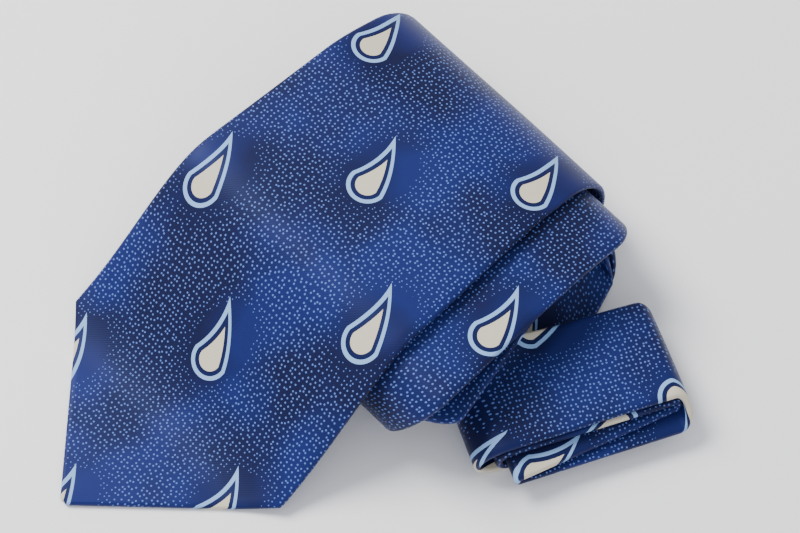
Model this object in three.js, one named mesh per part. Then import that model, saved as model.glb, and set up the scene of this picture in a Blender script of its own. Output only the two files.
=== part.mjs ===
// A silk necktie, folded in half at the neck and rolled up from there, with the wide blade on top.
// Millimetres, +Z up. +X runs from the blade's point to the roll's far edge, along the blade.
// The tie is one long band. Each stretch of it is a sleeve of silk, open down the middle of its back,
// round a flat interlining, and follows the roll: straight runs stacked on each other, joined by folds.
import * as THREE from "three";

// ---- driving dimensions ----
const blade_width = 95; // widest place of the front blade, at its shoulders
const neck_width = 34; // narrowest place, behind the collar
const tail_width = 46; // widest place of the tail blade
const neck_from = 670; // length along the tie, from the blade's point, at which it is narrowest
const neck_length = 220; // how long it stays narrow
const taper_curve = 1.3; // 1 is a straight taper, more keeps the blade wide for longer
const silk = 0.35; // thickness of the silk
const core = 1; // thickness of the wool interlining
const slack = 0.15; // room between silk and interlining
const layers = [1, 4.2, 7.2, 9.8, 12.2, 14.6, 19, 22.2, 25.2, 28.2, 31.6]; // middle heights in the roll
const neck_gap = 0.4; // room between two layers of the neck, in the bundle beside the roll
const second_edge = -43.5; // right edge of the second turn's lower layer, which the neck lies on
const seam_slit = 1.2; // gap between the silk's two edges down the middle of the back
const hem = 14; // width of the silk turned in behind each point
const blade_opening = 92; // from the blade's point to the end of the open place behind it
const tail_opening = 36; // the same on the tail
const blade_reach = 85; // from the roll's near edge to the blade's point
const roll_length = 104; // from the roll's near edge to the far fold of the blade
const near_step = 0.5; // how far the second near fold sits inside the first
const blade_low = -50; // where the hanging blade reaches the table
const blade_high = 18; // where the hanging blade leaves the top of the roll
const tail_end_gap = 4; // from the tail's point to the far fold line
const second_turn_y = -30; // middle of the second turn's upper layer, across the blade, at its near end
const third_y = -46; // the same of the third turn
const third_slant = 11; // how much nearer the blade's middle the third turn's far end is
const bundle_x = 29; // near end of the four neck layers, which lie beside the third turn
const bundle_tuck = 18.5; // how far their near end is tucked under the third turn's edge
const bundle_turn = -25; // their direction in plan
const bundle_length = 53;
const strip_out = 8; // how far the inner neck layers stick out beside the upper one
const neck_inset = 1; // how far the neck's own fold sits inside the bundle
const shelf_y = -41; // line beside which the neck layers start to sink
const shelf_width = 26; // distance over which they sink to the table
const keeper_x = 62; // where the keeper loop crosses the blade's back
const keeper_width = 14;
const keeper_span = 52;
const keeper_thickness = 0.5;
const label_x = 34; // middle of the maker's label
const label_length = 22;
const label_width = 42;
const care_x = -22; // middle of the care label
const care_length = 16;
const care_width = 11;
const label_thickness = 0.35;
const tack_length = 7; // bar tack across the seam, above each point
const tack_width = 1.6;
const tack_height = 0.7;
const thread = 0.5; // width of the slip-stitch thread
const fit = 0.3; // clearance between pieces that touch

// ---- what follows from them ----
const ply = 2 * silk + 2 * slack + core;
const level = (n) => layers[n - 1]; // middle height of the n-th layer from the table
const neckLevel = (n) => level(5) + n * (ply + neck_gap);
const blade_z = level(11);
const far_x = roll_length - (blade_z - level(1)) / 2 - ply / 2;
const near_x = (level(10) - level(1)) / 2 + ply / 2;
const near_x2 = near_x + near_step;
const hinge_x = far_x - fit; // the blade's end, beside the far fold
const tip_x = blade_high; // the line about which the hanging end lifts
const blade_length = far_x + blade_reach;

const deg = Math.PI / 180;
const lerp = THREE.MathUtils.lerp;
const smooth = (t) => THREE.MathUtils.smoothstep(t, 0, 1);

// ---- the runs of the roll, from the blade inwards to the neck, and back out to the tail ----
// A run goes from one [x, y, turn] to the next at its own height; turn is its direction in plan, in
// degrees. sense is +1 for a run that goes towards the far folds. A sunk run leaves the roll's side and
// sinks towards the table there.
const point = ([x, y, turn = 0], z) => ({ place: new THREE.Vector3(x, y, z), turn });
const run = (name, sense, z, from, to, sunk = 0) => ({
  name,
  sense,
  from: point(from, z),
  to: point(to, z),
  sunk,
});

// Width of the front half of the tie, at a length from the blade's point.
function frontWidth(s) {
  if (s < blade_width / 2) return 2 * s;
  const t = (s - blade_width / 2) / (neck_from - blade_width / 2);
  return lerp(blade_width, neck_width, Math.pow(Math.min(t, 1), taper_curve));
}

// The tie is widest at the start of each layer, so a layer is placed by its width there.
const foldBetween = (n, m) => (Math.PI / 2) * Math.abs(level(n) - level(m));
const second_s = blade_length + 2 * (far_x - near_x) + foldBetween(11, 1) + foldBetween(1, 10) + foldBetween(10, 3);
const third_s = second_s + far_x - near_x2 + foldBetween(3, 8);
const bundle_s = third_s + 2 * (far_x - near_x2);
const second_y = second_edge + frontWidth(second_s) / 2;
const bundle_y = third_y - (frontWidth(third_s) + frontWidth(bundle_s)) / 2 + bundle_tuck;

// A place in the bundle of neck layers, given along it from its near end and to its left.
function bundle(distance, aside) {
  const [c, s] = [Math.cos(bundle_turn * deg), Math.sin(bundle_turn * deg)];
  return [bundle_x + distance * c - aside * s, bundle_y + distance * s + aside * c, bundle_turn];
}
const front_runs = [
  run("turn1_bottom", -1, level(1), [far_x, -5], [near_x, -10]),
  run("turn2_top", 1, level(10), [near_x, second_turn_y], [far_x, second_turn_y - 2]),
  run("turn2_bottom", -1, level(3), [far_x, second_y - 1], [near_x2, second_y]),
  run("turn3_top", 1, level(8), [near_x2, third_y], [far_x, third_y + third_slant]),
  run("turn3_bottom", -1, level(5), [far_x, -44], bundle(0, 0), 1),
];
const neck_runs = [
  run("neck_top", 1, neckLevel(5), bundle(0, 0), bundle(bundle_length, 0), 1),
  run("neck_under", -1, neckLevel(2), bundle(bundle_length, -strip_out), bundle(neck_inset, -strip_out), 1),
  run("neck_return", 1, neckLevel(3), bundle(neck_inset, -strip_out), bundle(bundle_length, -2), 1),
  run("neck_inner", -1, neckLevel(4), bundle(bundle_length, -1), bundle(0, 0), 1),
];
const tail_runs = [
  run("tail_turn3_bottom", 1, neckLevel(1), bundle(0, 0), [far_x, -46], 1),
  run("tail_turn3_top", -1, level(7), [far_x, -34], [near_x2, -26]),
  run("tail_turn2_bottom", 1, level(4), [near_x2, -8], [far_x, -10]),
  run("tail_turn2_top", -1, level(9), [far_x, -14], [near_x, -12]),
  run("tail_end", 1, level(2), [near_x, -10], [far_x - tail_end_gap, -6]),
];

// How far a sunk run lies below its height, at a distance to the roll's side.
const sinkDepth = level(5) - level(1) - fit;
const sink = (y) => sinkDepth * smooth((shelf_y - y) / shelf_width);

// ---- stations: where the band is, which way it faces, how far along the tie ----
const across = (turn) => new THREE.Vector3(-Math.sin(turn * deg), Math.cos(turn * deg), 0);
const along = (turn, sense) => across(turn - 90).multiplyScalar(sense);

function station(place, turn, travel, s, sunk = 0) {
  const width_axis = across(turn);
  const face = new THREE.Vector3().crossVectors(travel, width_axis).normalize();
  return { place, width_axis, face, s, sunk };
}

const runLength = (r) => r.from.place.distanceTo(r.to.place);
function runStations(r, s0) {
  const pointed = r.name === "tail_end";
  const steps = r.sunk || pointed ? Math.ceil(runLength(r) / 6) : 1;
  return Array.from({ length: steps + 1 }, (_, i) => {
    const t = i / steps;
    const turn = lerp(r.from.turn, r.to.turn, t);
    const place = r.from.place.clone().lerp(r.to.place, t);
    return station(place, turn, along(turn, r.sense), s0 + t * runLength(r), r.sunk);
  });
}

// The fold from the end of one run to the start of the next: half a turn, bulging outwards.
const foldRadius = (a, b) => Math.abs(b.from.place.z - a.to.place.z) / 2;
const foldLength = (a, b) => Math.PI * foldRadius(a, b);
function foldStations(a, b, s0) {
  const radius = foldRadius(a, b);
  const way = Math.sign(b.from.place.z - a.to.place.z);
  const steps = radius > 6 ? 10 : 6;
  return Array.from({ length: steps + 1 }, (_, i) => {
    const angle = (i / steps) * Math.PI;
    const t = (1 - Math.cos(angle)) / 2;
    const turn = lerp(a.to.turn, b.from.turn, t);
    const out = along(turn, a.sense);
    const place = a.to.place.clone().lerp(b.from.place, t).addScaledVector(out, radius * Math.sin(angle));
    const travel = out.clone().multiplyScalar(Math.cos(angle));
    travel.z = way * Math.sin(angle);
    return station(place, turn, travel, s0 + radius * angle, lerp(a.sunk || 0, b.sunk, t));
  });
}

// The blade lies flat on the roll, then hangs over its near edge down to the table.
const bladeHeight = (x) =>
  lerp(level(1), blade_z, smooth((x - blade_low) / (blade_high - blade_low)));
function bladeStations(x0, x1, steps) {
  return Array.from({ length: steps + 1 }, (_, i) => {
    const x = lerp(x0, x1, i / steps);
    const slope = (bladeHeight(x + 1) - bladeHeight(x - 1)) / 2;
    const travel = new THREE.Vector3(1, 0, slope).normalize();
    return station(new THREE.Vector3(x, 0, bladeHeight(x)), 0, travel, x + blade_reach);
  });
}

// ---- the outline of the tie ----
const blade_run = { from: point([-blade_reach, 0], level(1)), to: point([far_x, 0], blade_z), sense: 1 };
const rolled = [...front_runs, ...neck_runs, ...tail_runs];
const tie_length = rolled.reduce(
  (sum, r, i) => sum + foldLength(i ? rolled[i - 1] : blade_run, r) + runLength(r),
  blade_length,
);

function tieWidth(s) {
  const from_tail = tie_length - s;
  if (from_tail < tail_width / 2) return 2 * from_tail;
  if (s < neck_from) return frontWidth(s);
  const t = (s - neck_from - neck_length) / (tie_length - neck_from - neck_length - tail_width / 2);
  return lerp(neck_width, tail_width, Math.max(0, t));
}

// Half the gap between the silk's back edges: wide behind a point, where the lining shows.
function openHalf(end, width, opening) {
  const shoulder = width / 2 - hem;
  const rise = Math.min(end - hem * Math.SQRT2, shoulder);
  return Math.min(rise, (shoulder * (opening - end)) / (opening - width / 2));
}
const slitHalf = (s) =>
  Math.max(
    openHalf(s, blade_width, blade_opening),
    openHalf(tie_length - s, tail_width, tail_opening),
    seam_slit / 2,
  );

// ---- solids ----
// Sweeps a section along the stations. A section is a loop of [across, out] points that turns
// anticlockwise: first half of it runs one way and the second half runs back beside it.
function sweep(stations, sectionAt) {
  const sections = stations.map(sectionAt);
  const loops = stations.map((st, i) =>
    sections[i].map(([a, n]) => {
      const p = st.place.clone().addScaledVector(st.width_axis, a).addScaledVector(st.face, n);
      p.z -= st.sunk * sink(p.y);
      return p;
    }),
  );
  const count = loops[0].length;
  const index = [];
  for (let i = 0; i + 1 < loops.length; i++)
    for (let j = 0; j < count; j++) {
      const k = (j + 1) % count;
      const [a, b, c, d] = [i * count + j, i * count + k, (i + 1) * count + k, (i + 1) * count + j];
      // Both faces of a layer are cut along the same diagonal, so that twisted cells stay parallel.
      const [from, to] = [sections[i][j], sections[i][k]];
      if ((to[0] - from[0] || to[1] - from[1]) > 0) index.push(a, b, c, a, c, d);
      else index.push(a, b, d, b, c, d);
    }
  const end = (loops.length - 1) * count;
  for (let k = 0; k + 1 < count / 2; k++) {
    const [a, b, c, d] = [k, k + 1, count - 2 - k, count - 1 - k];
    index.push(c, b, a, d, c, a, end + a, end + b, end + c, end + a, end + c, end + d);
  }
  const geometry = new THREE.BufferGeometry().setFromPoints(loops.flat());
  geometry.setIndex(index);
  geometry.computeVertexNormals();
  return geometry;
}

// Places across one half of a layer, from the middle gap to its edge.
const halfway = (gap, edge, cuts) =>
  Array.from({ length: cuts + 1 }, (_, i) => lerp(gap, edge, i / cuts));
const rightSide = (places, out) => places.map((a) => [a, out]);
const leftSide = (places, out) => places.map((a) => [-a, out]).reverse();

function sleeveSection(st, cuts) {
  const half = tieWidth(st.s) / 2;
  const inner = half - Math.min(silk, half / 4);
  const slit = Math.min(slitHalf(st.s), inner * 0.9);
  const [outside, inside] = [halfway(slit, half, cuts), halfway(slit, inner, cuts)];
  const [out, in_] = [ply / 2, ply / 2 - silk];
  return [
    ...rightSide(outside, -out),
    ...rightSide(outside, out).reverse(),
    ...leftSide(outside, out).reverse(),
    ...leftSide(outside, -out),
    ...leftSide(inside, -in_).reverse(),
    ...leftSide(inside, in_),
    ...rightSide(inside, in_),
    ...rightSide(inside, -in_).reverse(),
  ];
}

function coreSection(st, cuts) {
  const half = tieWidth(st.s) / 2;
  const edge = half - Math.min(silk + slack, half / 2);
  const places = halfway(Math.min(slitHalf(st.s), edge * 0.9), edge, cuts);
  const bottom = [...leftSide(places, -core / 2), ...rightSide(places, -core / 2)];
  return [...bottom, ...bottom.map(([a]) => [a, core / 2]).reverse()];
}

// A plain strip, from one height to another over the middle of the band.
const stripSection = (half, low, high) => [
  [-half, low],
  [half, low],
  [half, high],
  [-half, high],
];

// ---- materials ----
const finish = (color, roughness) => new THREE.MeshStandardMaterial({ color, roughness, metalness: 0 });
const materials = {
  silk: finish(0x2b3a80, 0.42),
  wool: finish(0xd9d3c4, 0.95),
  lining: finish(0xe6dcc0, 0.55),
  thread: finish(0x24306c, 0.6),
  label: finish(0x1d2550, 0.6),
  care: finish(0xefede6, 0.7),
};

const necktie = new THREE.Group();
function add(name, geometry, material) {
  const mesh = new THREE.Mesh(geometry, material);
  mesh.name = name;
  necktie.add(mesh);
}

// A stretch of the tie: its silk sleeve, the interlining in it and the thread that closes its back.
function stretch(name, stations, cuts = 1) {
  add(name + "_silk", sweep(stations, (st) => sleeveSection(st, cuts)), materials.silk);
  const inside = (st, by) => st.s > by && tie_length - st.s > by;
  const filled = stations.filter((st) => inside(st, hem));
  add(name + "_interlining", sweep(filled, (st) => coreSection(st, cuts)), materials.wool);
  const closed = stations.filter((st) => slitHalf(st.s) === seam_slit / 2 && inside(st, blade_width / 2));
  const stitch = () => stripSection(thread / 2, -ply / 2, silk - ply / 2);
  if (closed.length > 1) add(name + "_stitch", sweep(closed, stitch), materials.thread);
}

// The lining that shows behind a point, level with the silk's back.
function tipping(name, stations) {
  const shown = stations.filter((st) => slitHalf(st.s) > seam_slit && slitHalf(st.s) < tieWidth(st.s) * 0.4);
  const section = (st) => stripSection(slitHalf(st.s) - fit, -ply / 2, silk - ply / 2);
  add(name, sweep(shown, section), materials.lining);
}

// Something sewn flat on the band's back.
function sewn(name, stations, half, thickness, material, below = fit) {
  const top = -ply / 2 - below;
  add(name, sweep(stations, () => stripSection(half, top - thickness, top)), material);
}

// Moves the first and last station in, so that neighbouring stretches keep their clearance.
function trimmed(stations, start = fit / 2, end = fit / 2) {
  const pull = (from, to, by) => {
    const t = by / from.place.distanceTo(to.place);
    return { ...from, place: from.place.clone().lerp(to.place, t), s: lerp(from.s, to.s, t) };
  };
  const n = stations.length;
  return [
    pull(stations[0], stations[1], start),
    ...stations.slice(1, n - 1),
    pull(stations[n - 1], stations[n - 2], end),
  ];
}

// ---- the blade: the hanging point, and the part that lies on the roll ----
const point_stations = trimmed(bladeStations(1.5 - blade_reach, tip_x, 24), 0);
stretch("blade_point", point_stations);
tipping("blade_tipping", point_stations);
stretch("blade", trimmed(bladeStations(tip_x, hinge_x, 2)));

const crossing = (x, length) => bladeStations(x - length / 2, x + length / 2, 4);
const tack_x = blade_opening - blade_reach;
sewn("blade_bar_tack", crossing(tack_x, tack_width), tack_length / 2, tack_height, materials.thread);
sewn("care_label", crossing(care_x, care_length), care_width / 2, label_thickness, materials.care);
sewn("maker_label", crossing(label_x, label_length), label_width / 2, label_thickness, materials.label);
sewn("keeper_loop", crossing(keeper_x, keeper_width), keeper_span / 2, keeper_thickness, materials.silk);

// ---- the rolled band ----
let s = blade_length;
let previous = blade_run;
for (const r of rolled) {
  const fold = foldStations(previous, r, s);
  s += foldLength(previous, r);
  const flat = runStations(r, s);
  s += runLength(r);
  const cuts = r.sunk || previous.sunk ? 5 : 1;
  if (r.name === "neck_top") {
    stretch("bundle_fold", trimmed(fold), cuts);
    stretch(r.name, trimmed(flat), cuts);
  } else stretch(r.name, trimmed([...fold, ...flat.slice(1)]), cuts);
  if (r.name === "tail_end") tipping("tail_tipping", flat);
  previous = r;
}

// ---- export in a frame that stands on the table under the middle of the roll ----
const box = new THREE.Box3().setFromObject(necktie);
const middle = box.getCenter(new THREE.Vector3());
necktie.position.set(-middle.x, -middle.y, -box.min.z);

export default necktie;
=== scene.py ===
# %% [markdown]
# # A silk necktie, folded in half and rolled up
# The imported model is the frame: flat slabs that say where each layer of the tie lies and how its
# front blade, its point and its neck lift. Here the slabs get their cloth: one long flattened silk
# tube that follows the same roll, with soft edges, a back seam, and a woven pattern that runs round
# every fold.

# %% Load the frame
import math
from collections import namedtuple

import bpy
from mathutils import Matrix, Vector


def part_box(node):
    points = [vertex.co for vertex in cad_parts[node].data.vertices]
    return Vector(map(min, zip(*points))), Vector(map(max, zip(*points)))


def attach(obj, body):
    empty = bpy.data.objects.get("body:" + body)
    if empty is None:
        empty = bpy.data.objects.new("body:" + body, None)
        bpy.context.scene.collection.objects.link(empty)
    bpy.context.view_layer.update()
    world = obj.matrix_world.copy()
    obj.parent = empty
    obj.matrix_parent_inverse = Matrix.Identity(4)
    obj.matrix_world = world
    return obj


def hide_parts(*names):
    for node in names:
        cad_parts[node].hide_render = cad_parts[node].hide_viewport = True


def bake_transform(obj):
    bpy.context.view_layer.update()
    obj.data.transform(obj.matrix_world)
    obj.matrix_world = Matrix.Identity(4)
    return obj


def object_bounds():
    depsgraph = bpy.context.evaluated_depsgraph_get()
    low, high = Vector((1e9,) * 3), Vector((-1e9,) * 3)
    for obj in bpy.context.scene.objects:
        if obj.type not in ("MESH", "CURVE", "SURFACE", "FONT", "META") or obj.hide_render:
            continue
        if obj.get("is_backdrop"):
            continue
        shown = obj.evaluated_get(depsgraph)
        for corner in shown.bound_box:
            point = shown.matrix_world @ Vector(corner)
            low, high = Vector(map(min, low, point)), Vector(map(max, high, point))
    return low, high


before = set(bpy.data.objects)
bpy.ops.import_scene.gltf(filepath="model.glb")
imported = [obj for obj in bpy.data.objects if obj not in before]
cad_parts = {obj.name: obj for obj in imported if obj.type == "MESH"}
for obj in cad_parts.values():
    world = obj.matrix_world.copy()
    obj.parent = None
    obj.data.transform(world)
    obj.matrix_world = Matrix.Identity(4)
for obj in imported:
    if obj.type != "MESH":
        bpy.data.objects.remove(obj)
cad_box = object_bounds()
bpy.ops.object.select_all(action="DESELECT")

# %% [markdown]
# ## Where the tie lies
# The tie is one band, folded in half at the neck and rolled up from there. That makes it a list of
# straight runs with half-turn folds between them. The runs are stated in millimetres, in a frame of
# their own whose x follows the blade, because that is how a roll is easiest to think about. One slab's
# box then says where that frame stands.

# %% Measures of the roll
MM = 0.001
HEIGHTS = [1, 4.2, 7.2, 9.8, 12.2, 14.6, 19, 22.2, 25.2, 28.2, 31.6]
POINT_X = -85
FAR_X = 87.7
NEAR_X = 14.6
INNER_NEAR_X = 15.1
FIRST_SECTION = 1.5
low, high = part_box("blade_point_silk")
SHIFT = Vector((low[0] / MM - POINT_X - FIRST_SECTION, (low[1] + high[1]) / 2 / MM, 0))


def place(point):
    """A point of the roll, in millimetres, as a point of the frame, in metres."""
    return (Vector(point) + SHIFT) * MM


print("the roll stands at", [round(c, 2) for c in SHIFT], "mm")

# %% The runs of the band
Run = namedtuple("Run", "name sense z start end sunk")
BUNDLE_TURN = math.radians(-25)
BUNDLE_LENGTH = 53
STRIP_OUT = 8
NECK_PITCH = 2.4


def bundle(distance, aside=0):
    """A place in the neck's flat bundle, by its distance along it and to its left."""
    c, s = math.cos(BUNDLE_TURN), math.sin(BUNDLE_TURN)
    return (29 + distance * c - aside * s, -69.6 + distance * s + aside * c, BUNDLE_TURN)


def level(n):
    return HEIGHTS[n - 1]


def neck_level(n):
    return level(5) + n * NECK_PITCH


BLADE = Run("blade", 1, level(11), (POINT_X, 0, 0), (FAR_X, 0, 0), 0)
FRONT = [
    Run("turn1_bottom", -1, level(1), (FAR_X, -5, 0), (NEAR_X, -10, 0), 0),
    Run("turn2_top", 1, level(10), (NEAR_X, -30, 0), (FAR_X, -32, 0), 0),
    Run("turn2_bottom", -1, level(3), (FAR_X, -13.9, 0), (INNER_NEAR_X, -12.9, 0), 0),
    Run("turn3_top", 1, level(8), (INNER_NEAR_X, -46, 0), (FAR_X, -35, 0), 0),
    Run("turn3_bottom", -1, level(5), (FAR_X, -44, 0), bundle(0), 1),
]
NECK = [
    Run("neck_top", 1, neck_level(5), bundle(0), bundle(BUNDLE_LENGTH), 1),
    Run("neck_under", -1, neck_level(2), bundle(BUNDLE_LENGTH, -STRIP_OUT), bundle(1, -STRIP_OUT), 1),
    Run("neck_return", 1, neck_level(3), bundle(1, -STRIP_OUT), bundle(BUNDLE_LENGTH, -2), 1),
    Run("neck_inner", -1, neck_level(4), bundle(BUNDLE_LENGTH, -1), bundle(0), 1),
]
TAIL = [
    Run("tail_turn3_bottom", 1, neck_level(1), bundle(0), (FAR_X, -46, 0), 1),
    Run("tail_turn3_top", -1, level(7), (FAR_X, -34, 0), (INNER_NEAR_X, -26, 0), 0),
    Run("tail_turn2_bottom", 1, level(4), (INNER_NEAR_X, -8, 0), (FAR_X, -10, 0), 0),
    Run("tail_turn2_top", -1, level(9), (FAR_X, -14, 0), (NEAR_X, -12, 0), 0),
    Run("tail_end", 1, level(2), (NEAR_X, -10, 0), (FAR_X - 4, -6, 0), 0),
]
print(1 + len(FRONT) + len(NECK) + len(TAIL), "runs of cloth")

# %% [markdown]
# ## Stations along the band
# A station is the place of one cross-section: its middle, the direction of its width, the way the silk
# face looks, and how far along the tie it is. Runs, folds and the hanging blade all become stations,
# and a tube swept through them is smooth everywhere. Most of the real tie's character is in this path.

# %% Stations of a run and of a fold
Station = namedtuple("Station", "middle side face s sunk")
RUN_STEP = 2.5
FOLD_STEPS = 18
PUFF = {"neck_top": 1.7}


def smooth(t):
    t = min(max(t, 0.0), 1.0)
    return t * t * (3 - 2 * t)


def mix(a, b, t):
    return a + (b - a) * t


def station(middle, turn, travel, s, sunk=0):
    side = Vector((-math.sin(turn), math.cos(turn), 0))
    return Station(Vector(middle), side, travel.cross(side).normalized(), s, sunk)


def ahead(turn, sense):
    return Vector((math.cos(turn), math.sin(turn), 0)) * sense


def run_stations(run, s):
    start, end = Vector((*run.start[:2], run.z)), Vector((*run.end[:2], run.z))
    length = (end - start).length
    count = round(length / RUN_STEP)
    made = []
    for i in range(count + 1):
        t = i / count
        turn = mix(run.start[2], run.end[2], t)
        made.append(station(start.lerp(end, t), turn, ahead(turn, run.sense), s + t * length, run.sunk))
    return made


def fold_stations(a, b, s):
    """Half a turn, from the end of run a to the start of run b, bulging outwards."""
    start, end = Vector((*a.end[:2], a.z)), Vector((*b.start[:2], b.z))
    radius = abs(b.z - a.z) / 2
    climb = math.copysign(1, b.z - a.z)
    made = []
    for i in range(FOLD_STEPS + 1):
        angle = math.pi * i / FOLD_STEPS
        t = (1 - math.cos(angle)) / 2
        turn = mix(a.end[2], b.start[2], t)
        out = ahead(turn, a.sense)
        middle = start.lerp(end, t) + out * radius * PUFF.get(b.name, 1) * math.sin(angle)
        travel = out * math.cos(angle) + Vector((0, 0, climb * math.sin(angle)))
        made.append(station(middle, turn, travel, s + radius * angle, mix(a.sunk, b.sunk, t)))
    return made


print("a run has a section every", RUN_STEP, "mm, a fold has", FOLD_STEPS)

# %% Stations of the blade, which hangs over the near edge down to the table
HANG_LOW, HANG_HIGH = -50, 18
TABLE_STEP = 0.5


def blade_height(x):
    return mix(level(1), level(11), smooth((x - HANG_LOW) / (HANG_HIGH - HANG_LOW)))


def blade_table():
    """The blade's stations every half millimetre, with s the true length along the cloth."""
    made, s = [], 0.0
    count = round((FAR_X - POINT_X) / TABLE_STEP)
    for i in range(count + 1):
        x = mix(POINT_X, FAR_X, i / count)
        middle = Vector((x, 0, blade_height(x)))
        if made:
            s += (middle - made[-1].middle).length
        slope = blade_height(x + TABLE_STEP) - blade_height(x - TABLE_STEP)
        made.append(station(middle, 0, Vector((2 * TABLE_STEP, 0, slope)), s))
    return made


BLADE_TABLE = blade_table()
BLADE_LENGTH = BLADE_TABLE[-1].s


def blade_stations(x0, x1, step=RUN_STEP):
    """The blade's stations from x0 to x1, evenly spaced."""
    count = max(2, round((x1 - x0) / step))
    every = (FAR_X - POINT_X) / (len(BLADE_TABLE) - 1)
    picked = [round((mix(x0, x1, i / count) - POINT_X) / every) for i in range(count + 1)]
    return [BLADE_TABLE[min(i, len(BLADE_TABLE) - 1)] for i in picked]


folds, flats = {}, {}
s = BLADE_LENGTH
previous = BLADE
for run in FRONT + NECK + TAIL:
    folds[run.name] = fold_stations(previous, run, s)
    flats[run.name] = run_stations(run, folds[run.name][-1].s)
    s = flats[run.name][-1].s
    previous = run
TIE_LENGTH = s
print("the blade is", round(BLADE_LENGTH), "mm long and the tie", round(TIE_LENGTH), "mm")

# %% [markdown]
# ## How wide it is, and how soft
# The tie is 95 mm wide at the shoulders of its blade, 34 mm at the neck and 46 mm at the tail. Beside
# the roll the neck sinks to the table, the soft roll is a little domed between its folds, and no layer
# is quite flat. Each of these only moves points straight up or down, by an amount that depends on the
# place, so layers stay apart.

# %% Width along the tie
BLADE_WIDTH, NECK_WIDTH, TAIL_WIDTH = 95, 34, 46
NECK_FROM, NECK_TO = 676, 896
HEM = 14
BLADE_OPENING, TAIL_OPENING = 92, 36
SLIT = 0.6


def width_at(s):
    from_tail = TIE_LENGTH - s
    if s < BLADE_WIDTH / 2:
        return 2 * s
    if from_tail < TAIL_WIDTH / 2:
        return 2 * from_tail
    if s < NECK_FROM:
        t = (s - BLADE_WIDTH / 2) / (NECK_FROM - BLADE_WIDTH / 2)
        return mix(BLADE_WIDTH, NECK_WIDTH, t**1.3)
    t = (s - NECK_TO) / (TIE_LENGTH - NECK_TO - TAIL_WIDTH / 2)
    return mix(NECK_WIDTH, TAIL_WIDTH, max(0.0, t))


def opening_at(s):
    """Half the width of the place behind a point where the silk is open and the lining shows."""

    def behind(end, width, closes):
        shoulder = width / 2 - HEM
        rise = min(end - HEM * math.sqrt(2), shoulder)
        return min(rise, shoulder * (closes - end) / (closes - width / 2))

    return max(behind(s, BLADE_WIDTH, BLADE_OPENING), behind(TIE_LENGTH - s, TAIL_WIDTH, TAIL_OPENING), SLIT)


for s in (47.5, 300, 800, TIE_LENGTH - 30):
    print("at", round(s), "mm it is", round(width_at(s)), "mm wide")

# %% Softness
SINK_DEPTH, SHELF_Y, SHELF_WIDTH = 10.9, -41, 26
LOFT_FROM, LOFT_HEIGHT = 3, 29
DOME = 9
DOME_NEAR, DOME_RISE = -50, 75
DOME_FAR, DOME_FALL = 108, 42
DOME_SIDE, DOME_SIDE_WIDTH, DOME_SIDE_SHARE = -60, 70, 0.8
WAVE_HEIGHT = 0.4
# Two slow waves: millimetres to a radian along x and y, phase, and share of the height.
WAVES = [(17, 29, 0.6, 1), (-31, 13, 0, 0.7)]


def settle(point, sunk):
    """The point, moved up or down to where soft cloth lies."""
    x, y, z = point
    z -= sunk * SINK_DEPTH * smooth((SHELF_Y - y) / SHELF_WIDTH)
    loft = min(max((z - LOFT_FROM) / LOFT_HEIGHT, 0.0), 1.0)
    along = smooth((x - DOME_NEAR) / DOME_RISE) * smooth((DOME_FAR - x) / DOME_FALL)
    across = mix(DOME_SIDE_SHARE, 1, smooth((y - DOME_SIDE) / DOME_SIDE_WIDTH))
    wave = sum(share * math.sin(x / wx + y / wy + phase) for wx, wy, phase, share in WAVES)
    return Vector((x, y, z + (DOME * along * across + WAVE_HEIGHT * wave) * loft))


lifted = settle((45, 0, BLADE.z), 0).z - BLADE.z
print("the middle of the roll stands", round(lifted, 1), "mm prouder than its slab")

# %% [markdown]
# ## Sweeping the silk
# A tie is a strip of silk folded round a wool interlining, with its two edges slip-stitched down the
# middle of the back. So its section is a flat tube with soft edges and a narrow seam groove, which
# widens behind each point to show the lining. The tube is swept by mesh code, because cloth that
# follows a roll is easier to state as a path than to push by hand or to simulate. Its UV map is the
# silk's own plane in millimetres, so the pattern keeps its size and runs round the edges.

# %% The silk's section
THICK = 2.0
CROWN = 0.15
GROOVE = 0.5
BACK_POINTS, EDGE_POINTS, FRONT_POINTS = 6, 6, 14


def silk_section(half, opening):
    """Points [across, out, u] round the tube from one lip of the back seam to the other."""
    r = min(THICK / 2, half * 0.6)
    flat = half - r
    slit = min(opening, flat * 0.9)
    lip = []
    for i in range(BACK_POINTS + 1):
        a = mix(slit, flat, i / BACK_POINTS)
        lip.append((a, -r, flat + math.pi * r + flat - a))
    for i in range(1, EDGE_POINTS):
        turn = math.pi * i / EDGE_POINTS - math.pi / 2
        lip.append((flat + r * math.cos(turn), r * math.sin(turn), flat + r * (math.pi / 2 - turn)))
    for i in range(FRONT_POINTS + 1):
        a = mix(flat, 0, i / FRONT_POINTS)
        lip.append((a, r + CROWN * (1 - (a / half) ** 2), a))
    other = [(-a, n, -u) for a, n, u in reversed(lip[:-1])]
    inside = min(GROOVE, r)
    return lip + other + [(-slit, inside - r, -2 * half), (slit, inside - r, 2 * half)]


print(len(silk_section(40, SLIT)), "points round the tube")

# %% The sweep
SMOOTH_UNDER = math.radians(50)


def new_piece(name, points, faces):
    """An object of these corners and faces, selected, with nothing else selected."""
    mesh = bpy.data.meshes.new(name)
    mesh.from_pydata(points, [], faces)
    piece = bpy.data.objects.new(name, mesh)
    bpy.context.scene.collection.objects.link(piece)
    bpy.ops.object.select_all(action="DESELECT")
    piece.select_set(True)
    bpy.context.view_layer.objects.active = piece
    return piece


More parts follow.
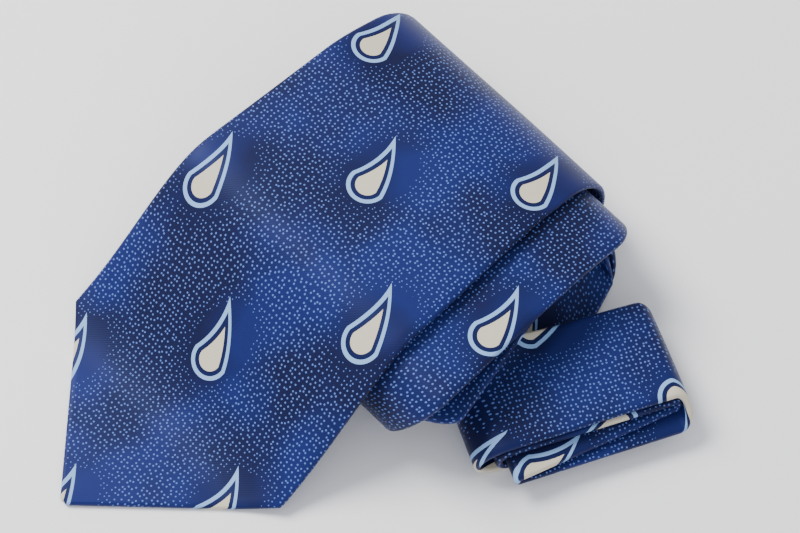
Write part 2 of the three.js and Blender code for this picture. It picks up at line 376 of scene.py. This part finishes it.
def sweep(name, stations, section, shift=(0, 0)):
    """A closed tube through the stations. section(station) gives its points [across, out, u].

    shift moves the woven pattern on it, across and along."""
    points, maps = [], []
    for st in stations:
        for a, n, u in section(st):
            points.append(place(settle(st.middle + st.side * a + st.face * n, st.sunk)))
            maps.append((u + shift[0], st.s + shift[1]))
    count = len(points) // len(stations)
    faces = []
    for i in range(len(stations) - 1):
        for j in range(count):
            k = (j + 1) % count
            faces.append((i * count + j, i * count + k, (i + 1) * count + k, (i + 1) * count + j))
    for i in (0, len(stations) - 1):
        cap = tuple(range(i * count, (i + 1) * count))
        faces.append(cap if i else cap[::-1])
    piece = new_piece(name, points, faces)
    uv = piece.data.uv_layers.new(name="cloth")
    for loop in piece.data.loops:
        uv.data[loop.index].uv = maps[loop.vertex_index]
    bpy.ops.object.shade_smooth_by_angle(angle=SMOOTH_UNDER)
    print(name, "has", len(faces), "faces")
    return piece


# A tie is cut as panels, so its pattern starts afresh on the turns and on the neck.
PATTERN_SHIFT = {"front_turns": (-6, 17), "neck": (-18, 35)}


def silk_tube(name, stations):
    def section(st):
        return silk_section(width_at(st.s) / 2, opening_at(st.s))

    return sweep(name + "_cloth", stations, section, PATTERN_SHIFT.get(name, (0, 0)))


# %% The five lengths of the band
SPLIT_X = 50


def band(first, *names):
    made = list(first)
    for name in names:
        made += folds[name][1:] + flats[name][1:]
    return made


front_names = [run.name for run in FRONT]
neck_names = [run.name for run in NECK]
tail_names = [run.name for run in TAIL]
neck_start = folds["neck_top"] + flats["neck_top"][1:]
tail_run = band(flats["tail_turn3_bottom"], *tail_names[1:])
lengths = {
    "blade_point": blade_stations(POINT_X + FIRST_SECTION, SPLIT_X),
    "blade": blade_stations(SPLIT_X, FAR_X) + folds["turn1_bottom"][1:],
    "front_turns": band(flats["turn1_bottom"], *front_names[1:]),
    "neck": band(neck_start, *neck_names[1:]) + folds["tail_turn3_bottom"][1:],
    "tail_turns": [st for st in tail_run if TIE_LENGTH - st.s > FIRST_SECTION],
}
shoulder = min(lengths["blade_point"], key=lambda st: abs(st.s - BLADE_WIDTH / 2))
print("a section lies", round(shoulder.s - BLADE_WIDTH / 2, 2), "mm from the shoulders")
silk = {name: silk_tube(name, stations) for name, stations in lengths.items()}

# %% [markdown]
# ## The wool inside
# The interlining gives a tie its body. It is a strip of brushed wool as wide as the finished tie less
# the silk's turn at each edge. It lies loose in the tube, and it is a piece of its own here too.

# %% Interlining
WOOL_INSET = 1.3
WOOL_LOW, WOOL_HIGH = -0.3, 0.6
WOOL_CELLS = 12


def wool_section(st):
    half = max(width_at(st.s) / 2 - WOOL_INSET, 0.4)
    across = [mix(-half, half, i / WOOL_CELLS) for i in range(WOOL_CELLS + 1)]
    under = [(a, WOOL_LOW, a) for a in across]
    over = [(a, WOOL_HIGH, a) for a in reversed(across)]
    return under + over


def from_the_points(stations, distance):
    return [st for st in stations if st.s > distance and TIE_LENGTH - st.s > distance]


wool = {}
for name, stations in lengths.items():
    wool[name] = sweep(name + "_wool", from_the_points(stations, HEM), wool_section)

# %% [markdown]
# ## Thread, linings and labels
# On the back there is a seam of slip stitches, a bar tack where the seam ends, a cream lining behind
# each point, a keeper loop for the tail and two plain labels. Each is swept along the same
# stations as the silk, so it lies on the cloth wherever the cloth goes.

# %% Slip stitches
STITCH_EVERY, STITCH_REACH, STITCH_RADIUS, STITCH_OUT = 4, 0.75, 0.14, 0.12
# A thread's rings: how far along it each is, and its share of the full radius.
THREAD_RINGS = ((0, 0.4), (0.18, 1), (0.82, 1), (1, 0.4))


def rod(a, b, radius, sides=6):
    """Corners and faces of one little straight thread with tapered ends."""
    axis = (b - a).normalized()
    first = axis.cross(Vector((0.3, 0.2, 1))).normalized()
    second = axis.cross(first)
    points = []
    for t, size in THREAD_RINGS:
        for i in range(sides):
            turn = 2 * math.pi * i / sides
            out = first * math.cos(turn) + second * math.sin(turn)
            points.append(a.lerp(b, t) + out * radius * size)
    faces = []
    for start in range(0, len(points) - sides, sides):
        for i in range(sides):
            j = (i + 1) % sides
            faces.append((start + i, start + j, start + sides + j, start + sides + i))
    faces.append(tuple(range(sides))[::-1])
    faces.append(tuple(range(len(points) - sides, len(points))))
    return points, faces


def threads(name, ends, radius):
    """One mesh of many threads. Each end is [station, across, out]."""
    points, faces = [], []
    for pair in ends:
        a, b = [
            settle(st.middle + st.side * across + st.face * out, st.sunk)
            for st, across, out in pair
        ]
        corners, sides = rod(a, b, radius)
        faces += [tuple(len(points) + i for i in side) for side in sides]
        points += [place(corner) for corner in corners]
    piece = new_piece(name, points, faces)
    bpy.ops.object.shade_smooth()
    print(name, "has", len(ends), "threads")
    return piece


def seam(name, stations):
    closed = [st for st in from_the_points(stations, BLADE_WIDTH / 2) if opening_at(st.s) == SLIT]
    ends = []
    out = -THICK / 2 + STITCH_OUT
    for i in range(1, len(closed) - 2, STITCH_EVERY):
        ends.append(((closed[i], -STITCH_REACH, out), (closed[i + 1], STITCH_REACH, out)))
    return threads(name, ends, STITCH_RADIUS)


stitches = {name: seam(name + "_slip_stitches", stations) for name, stations in lengths.items()}

# %% Bar tack across the end of the seam
TACK_X = BLADE_OPENING + POINT_X
TACK_REACH, TACK_OUT, TACK_RADIUS = 3.4, -1.15, 0.3
tack_threads = []
for st in blade_stations(TACK_X - 1, TACK_X + 1, 0.5):
    tack_threads.append(((st, -TACK_REACH, TACK_OUT), (st, TACK_REACH, TACK_OUT)))
bar_tack = threads("bar_tack", tack_threads, TACK_RADIUS)

# %% Linings, labels and the keeper loop
LINING_THICK, LINING_GAP, LINING_CLEARANCE = 0.4, 0.05, 0.15
MAKER_SIZE, CARE_SIZE, KEEPER_SIZE = (22, 42), (16, 11), (14, 52)
SEWN_TOP = -1.25
SEWN_STEP = 1.5


def flat_section(half, low, high, cells=10):
    """A flat strip of cloth with softly rounded edges."""
    across = [mix(-half, half, i / cells) for i in range(cells + 1)]
    under = [(a, low, a) for a in across]
    over = [(a, high, a) for a in reversed(across)]
    middle = (low + high) / 2
    return under + [(half + 0.1, middle, half)] + over + [(-half - 0.1, middle, -half)]


def lining(name, stations):
    shown = [st for st in stations if SLIT < opening_at(st.s) < width_at(st.s) * 0.4]
    back = -THICK / 2 + LINING_GAP

    def section(st):
        return flat_section(opening_at(st.s) - LINING_CLEARANCE, back, back + LINING_THICK)

    return sweep(name, shown, section), shown


blade_lining, blade_lined = lining("blade_lining", lengths["blade_point"])
tail_lining, tail_lined = lining("tail_lining", lengths["tail_turns"])


def sewn_on(name, x, size, low):
    """A strip on the blade's back, with its middle at x. size is along the blade and across it."""
    stations = blade_stations(x - size[0] / 2, x + size[0] / 2, SEWN_STEP)
    return sweep(name, stations, lambda st: flat_section(size[1] / 2, low, SEWN_TOP))


maker_label = sewn_on("maker_label_cloth", 34, MAKER_SIZE, -1.6)
care_label = sewn_on("care_label_cloth", -22, CARE_SIZE, -1.6)
keeper = sewn_on("keeper_cloth", 62, KEEPER_SIZE, -1.75)

# %% [markdown]
# ## Silk
# The real cloth is a jacquard silk: a navy satin ground that looks royal blue where the light catches it,
# thousands of small woven spots, and scattered woven figures. That royal-blue sheen is painted into the
# colour here, in broad soft patches. A plain teardrop on an even lattice stands in for the figures. The
# pattern could be painted, but it is worked out in the silk's own millimetres instead, so that it is
# sharp and the right size on every length of the band.

# %% Colours, and the one helper that adds a node
def linear(colour):
    """An sRGB hex colour as linear RGBA."""
    parts = [int(colour[i : i + 2], 16) / 255 for i in (1, 3, 5)]
    return (*[c / 12.92 if c <= 0.04045 else ((c + 0.055) / 1.055) ** 2.4 for c in parts], 1)


def add(tree, kind, how, *values):
    """Adds a node and returns its first live output.

    how is its operation or its settings. values go into its live sockets in order: a socket to
    link, an sRGB hex colour, a number, or None to leave the socket alone."""
    node = tree.nodes.new("ShaderNode" + kind)
    for key, value in ({"operation": how} if isinstance(how, str) else how).items():
        setattr(node, key, value)
    for socket, value in zip([socket for socket in node.inputs if socket.enabled], values):
        if isinstance(value, bpy.types.NodeSocket):
            tree.links.new(value, socket)
        elif value is not None:
            socket.default_value = linear(value) if isinstance(value, str) else value
    return next(socket for socket in node.outputs if socket.enabled)


def new_material(name):
    """A material with its tree and its main shader."""
    material = bpy.data.materials.new(name)
    material.use_nodes = True
    return material, material.node_tree, material.node_tree.nodes["Principled BSDF"]


print("navy is", [round(c, 3) for c in linear("#232f6d")[:3]])

# %% The silk's plane, and one cell of the pattern
silk_material, tree, silk_shader = new_material("jacquard_silk_satin")
plane = add(tree, "UVMap", {"uv_map": "cloth"})
u, v = add(tree, "SeparateXYZ", {}, plane).node.outputs[:2]
HALF_ROOT = math.sqrt(0.5)
CELL = 50
sum_uv = add(tree, "Math", "MULTIPLY", add(tree, "Math", "ADD", v, u), HALF_ROOT)
gap_uv = add(tree, "Math", "MULTIPLY", add(tree, "Math", "SUBTRACT", v, u), HALF_ROOT)
p = add(tree, "Math", "WRAP", sum_uv, CELL / 2, -CELL / 2)
q = add(tree, "Math", "WRAP", gap_uv, CELL / 2, -CELL / 2)
along = add(tree, "Math", "MULTIPLY", add(tree, "Math", "ADD", p, q), HALF_ROOT)
aside = add(tree, "Math", "MULTIPLY", add(tree, "Math", "SUBTRACT", p, q), HALF_ROOT)
print("the teardrops stand", CELL, "mm apart")

# %% One plain teardrop: a pale outline, a navy band and a cream middle
HEAD_RADIUS, TAIL_LENGTH, TAIL_BEND = 6.5, 18, 0.02
RINGS = [(0, "#86aad6"), (0.2, "#10153c"), (0.42, "#c9c0a8")]


x = add(tree, "Math", "ADD", along, (TAIL_LENGTH - HEAD_RADIUS) / 2)
tail = add(tree, "Math", "MAXIMUM", x, 0.0)
head = add(tree, "Math", "MINIMUM", x, 0.0)
bend = add(tree, "Math", "MULTIPLY", add(tree, "Math", "MULTIPLY", tail, tail), TAIL_BEND)
off = add(tree, "Math", "SUBTRACT", aside, bend)
half = add(tree, "Math", "MULTIPLY_ADD", tail, -HEAD_RADIUS / TAIL_LENGTH, HEAD_RADIUS)
head_squared = add(tree, "Math", "MULTIPLY", head, head)
off_squared = add(tree, "Math", "MULTIPLY", off, off)
reach = add(tree, "Math", "SQRT", add(tree, "Math", "ADD", head_squared, off_squared))
depth = add(tree, "Math", "SUBTRACT", half, reach)
inside = add(tree, "Math", "GREATER_THAN", depth, 0.0)
figure = add(tree, "ValToRGB", {}, add(tree, "Math", "DIVIDE", depth, HEAD_RADIUS))
rings = figure.node.color_ramp
rings.interpolation = "CONSTANT"
while len(rings.elements) < len(RINGS):
    rings.elements.new(0.5)
for element, (position, colour) in zip(rings.elements, RINGS):
    element.position = position
    element.color = linear(colour)
print(len(tree.nodes), "nodes draw the teardrop")

# %% The ground: navy satin, painted royal-blue sheen, woven spots
# The second colour is painted sheen: the blue the satin shows where the light catches it.
NAVY, PAINTED_SHEEN_BLUE, SPOT_BLUE = "#0f1030", "#1b2360", "#5872b4"
SPOT_PITCH = 1.55
SPOT_NEAR, SPOT_FAR = 0.12, 0.2
SPOT_SCATTER = 0.55
CLEAR_LENGTH, CLEAR_WIDTH = 18.0, 12.5
CLEAR_FROM, CLEAR_TO = 0.75, 1.25
SHEEN_PATCH_SIZE = 1 / 0.028
SHEEN_PATCH_LOW, SHEEN_PATCH_HIGH = 0.38, 0.62
PAINTED_SHEEN_SHARE, SPOT_SHARE = 0.7, 0.85
away = []
for value, size in ((along, CLEAR_LENGTH), (aside, CLEAR_WIDTH)):
    share = add(tree, "Math", "ABSOLUTE", add(tree, "Math", "DIVIDE", value, size))
    away.append(add(tree, "Math", "POWER", share, 2.0))
halo = add(tree, "Math", "SQRT", add(tree, "Math", "ADD", *away))
clear = add(tree, "MapRange", {}, halo, CLEAR_FROM, CLEAR_TO, 0.0, 1.0)
flat_noise = {"noise_dimensions": "2D"}
# Painted sheen: broad soft noise patches mix the lighter blue into the navy, where the satin would catch the
# light.
sheen_noise = add(tree, "TexNoise", flat_noise, plane, 1 / SHEEN_PATCH_SIZE, 2.0, 0.5)
painted_sheen = add(tree, "MapRange", {}, sheen_noise, SHEEN_PATCH_LOW, SHEEN_PATCH_HIGH, 0.0, 1.0)
flat_cells = {"voronoi_dimensions": "2D"}
spots = add(tree, "TexVoronoi", flat_cells, plane, 1 / SPOT_PITCH, None, None, None, SPOT_SCATTER)
spot_size = add(tree, "MapRange", {}, clear, 0.0, 1.0, SPOT_NEAR, SPOT_FAR)
small = add(tree, "Math", "LESS_THAN", spots, spot_size)
beside = add(tree, "Math", "GREATER_THAN", clear, 0.02)
spot = add(tree, "Math", "MULTIPLY", small, beside)
colours = {"data_type": "RGBA"}
painted_sheen_mix = add(tree, "Math", "MULTIPLY", painted_sheen, PAINTED_SHEEN_SHARE)
spot_mix = add(tree, "Math", "MULTIPLY", spot, SPOT_SHARE)
ground = add(tree, "Mix", colours, painted_sheen_mix, NAVY, PAINTED_SHEEN_BLUE)
ground = add(tree, "Mix", colours, spot_mix, ground, SPOT_BLUE)
pattern = add(tree, "Mix", colours, inside, ground, figure)
tree.links.new(pattern, silk_shader.inputs["Base Color"])
silk_shader.inputs["Roughness"].default_value = 0.5
silk_shader.inputs["Sheen Weight"].default_value = 0.05
silk_shader.inputs["Sheen Roughness"].default_value = 0.4
silk_shader.inputs["Specular IOR Level"].default_value = 0.4
silk_shader.inputs["Specular Tint"].default_value = linear("#8c9ce6")
print(len(tree.nodes), "nodes in the silk")

# %% The weave's relief
# Real silk has about 40 threads a centimetre, too fine to show, so the twill is drawn coarser.
TWILL_PITCH = 0.7
TWILL_SHARE = 0.1
RELIEF_STRENGTH, RELIEF_HEIGHT = 0.35, 0.15 * MM
twill = add(tree, "Math", "SINE", add(tree, "Math", "MULTIPLY", sum_uv, math.tau / TWILL_PITCH))
raised = add(tree, "Math", "MAXIMUM", inside, spot)
relief = add(tree, "Math", "MULTIPLY_ADD", twill, TWILL_SHARE, raised)
bump = add(tree, "Bump", {}, RELIEF_STRENGTH, RELIEF_HEIGHT, None, relief)
tree.links.new(bump, silk_shader.inputs["Normal"])
print("silk is", silk_material.name)


# %% [markdown]
# ## The plainer cloths
# Brushed wool, a satin lining, sewing thread and two woven labels. Each starts from what it is made of:
# wool is matt and felted, the lining is smooth and cream, thread is matt and twisted, and the labels
# are flat woven tape, left blank. They differ only in colour, grain and sheen, so one function makes
# them all from one fine noise.

# %% Wool, lining, thread and label tape
def plain_cloth(name, dark, light, scale, roughness, sheen, distance):
    """A woven or felted cloth whose colour and relief follow one fine noise. scale is per metre."""
    material, tree, shader = new_material(name)
    here = add(tree, "TexCoord", {}).node.outputs["Object"]
    noise = add(tree, "TexNoise", {}, here, scale, 4.0)
    colour = add(tree, "ValToRGB", {}, noise)
    for element, end in zip(colour.node.color_ramp.elements, (dark, light)):
        element.color = linear(end)
    bump = add(tree, "Bump", {}, 0.4, distance, None, noise)
    tree.links.new(colour, shader.inputs["Base Color"])
    tree.links.new(bump, shader.inputs["Normal"])
    shader.inputs["Roughness"].default_value = roughness
    shader.inputs["Sheen Weight"].default_value = sheen
    return material


wool_material = plain_cloth("brushed_wool_interlining", "#c3bba8", "#e2dccd", 900, 0.95, 0.3, 0.0004)
lining_material = plain_cloth("cream_satin_lining", "#d9ceb0", "#ece3c9", 1500, 0.4, 0.2, 0.0001)
thread_material = plain_cloth("navy_sewing_thread", "#1d2758", "#33428c", 2500, 0.6, 0.1, 0.0001)
label_material = plain_cloth("navy_label_tape", "#171f48", "#27326a", 2000, 0.6, 0.1, 0.0001)
care_material = plain_cloth("white_label_tape", "#dcdad2", "#f3f1ea", 2000, 0.7, 0.1, 0.0001)
print("five plain cloths")

# %% [markdown]
# ## What each piece stands for
# The roll's turns, the tail's lining, the tack, the labels and the keeper ride on the body of the slabs
# they stand for. Where the silk crosses a joint it could be cut there, but a real tie has no cut, so the
# point, the blade and the neck stay whole: their pieces only have their places baked in and ride on no body.

# %% Finishes and the slabs that are replaced
def finish(piece, material, nodes):
    piece.data.materials.clear()
    piece.data.materials.append(material)
    if nodes:
        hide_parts(*nodes)


stretches = {
    "blade_point": ["blade_point"],
    "blade": ["blade"],
    "front_turns": front_names,
    "neck": ["bundle_fold"] + neck_names,
    "tail_turns": tail_names,
}
for name, parts_of in stretches.items():
    here = []
    for kind in ("_silk", "_interlining", "_stitch"):
        here.append([part + kind for part in parts_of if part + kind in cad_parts])
    finish(silk[name], silk_material, here[0])
    finish(wool[name], wool_material, here[1])
    finish(stitches[name], thread_material, here[2])
finish(blade_lining, lining_material, ["blade_tipping"])
finish(tail_lining, lining_material, ["tail_tipping"])
finish(bar_tack, thread_material, ["blade_bar_tack"])
finish(maker_label, label_material, ["maker_label"])
finish(care_label, care_material, ["care_label"])
finish(keeper, silk_material, ["keeper_loop"])
print("every slab is stood for")

# %% What moves with what
def bending(name):
    for piece in (silk[name], wool[name], stitches[name]):
        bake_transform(piece)


bending("blade_point")
bending("blade")
bending("neck")
for name in ("front_turns", "tail_turns"):
    for piece in (silk[name], wool[name], stitches[name]):
        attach(piece, "roll")
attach(tail_lining, "roll")
for piece in (blade_lining, bar_tack, care_label):
    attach(piece, "blade_point")
for piece in (maker_label, keeper):
    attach(piece, "blade")
print("pieces ride on their bodies")

# %% The size each cloth lies flat
def lies_flat(stations, width):
    """Works out a strip of cloth's greatest width and its true area, and keeps neither."""
    widest = max(width(st) for st in stations)
    area = sum((b.s - a.s) * (width(a) + width(b)) / 2 for a, b in zip(stations, stations[1:]))


for name, stations in lengths.items():
    lies_flat(stations, lambda st: width_at(st.s))
    lies_flat(from_the_points(stations, HEM), lambda st: width_at(st.s) - 2 * WOOL_INSET)
lies_flat(blade_lined, lambda st: 2 * opening_at(st.s))
lies_flat(tail_lined, lambda st: 2 * opening_at(st.s))

# %% [markdown]
# ## Floor, light and camera
# The tie lies on a plain pale surface under soft daylight that comes from beyond its left side. One
# broad lamp gives the silk its lustre and the soft shadow at the near edge, and a weak one fills it.
# A pale sky lights the rest, because a third lamp would cast a second shadow.

# %% Floor
bpy.ops.object.select_all(action="DESELECT")
bpy.ops.mesh.primitive_plane_add(size=6, location=(0, 0, 0))
floor = bpy.context.object
floor.name = "floor"
floor_material, floor_tree, floor_shader = new_material("pale_tabletop")
floor_shader.inputs["Base Color"].default_value = linear("#f6f4f3")
floor_shader.inputs["Roughness"].default_value = 0.5
floor.data.materials.append(floor_material)
floor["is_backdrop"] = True

# %% Lights
def lamp(name, location, size, power, colour):
    data = bpy.data.lights.new(name, "AREA")
    data.shape = "DISK"
    data.size = size
    data.energy = power
    data.color = linear(colour)[:3]
    made = bpy.data.objects.new(name, data)
    made.location = location
    made.rotation_euler = (-Vector(location)).to_track_quat("-Z", "Y").to_euler()
    bpy.context.scene.collection.objects.link(made)


lamp("window", (-0.2, 1.0, 1.2), 0.8, 38, "#ffffff")
lamp("fill", (-0.9, -0.9, 1.0), 1.2, 6, "#eef2ff")
world = bpy.data.worlds.new("daylight")
world.use_nodes = True
world.node_tree.nodes["Background"].inputs[0].default_value = linear("#e6ebf4")
world.node_tree.nodes["Background"].inputs[1].default_value = 1.0
bpy.context.scene.world = world
print("two lamps and a sky")

# %% Camera
TARGET = place((40.2, -17.6, 15))
AZIMUTH, ELEVATION, ROLL = (math.radians(a) for a in (-44.9, 63.8, 1.3))
DISTANCE = 0.736
view = Vector((
    -math.sin(AZIMUTH) * math.cos(ELEVATION),
    math.cos(AZIMUTH) * math.cos(ELEVATION),
    -math.sin(ELEVATION),
))
right = Vector((math.cos(AZIMUTH), math.sin(AZIMUTH), 0))
up = right.cross(view)
right, up = right * math.cos(ROLL) + up * math.sin(ROLL), up * math.cos(ROLL) - right * math.sin(ROLL)
camera = bpy.data.objects.new("camera", bpy.data.cameras.new("camera"))
camera.data.lens = 106.6
camera.data.sensor_width = 36
camera.data.clip_start = 0.05
axes = Matrix((right, up, -view)).transposed().to_4x4()
camera.matrix_world = Matrix.Translation(TARGET - view * DISTANCE) @ axes
bpy.context.scene.collection.objects.link(camera)
bpy.context.scene.camera = camera
print("the camera is", round(DISTANCE * 100), "cm away")

# %% The two sizes
visual_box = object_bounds()
boxes = [[list(map(float, corner)) for corner in box] for box in (cad_box, visual_box)]
for name, box in zip(("slabs", "cloth"), boxes):
    print(name, [round((b - a) / MM, 1) for a, b in zip(*box)])
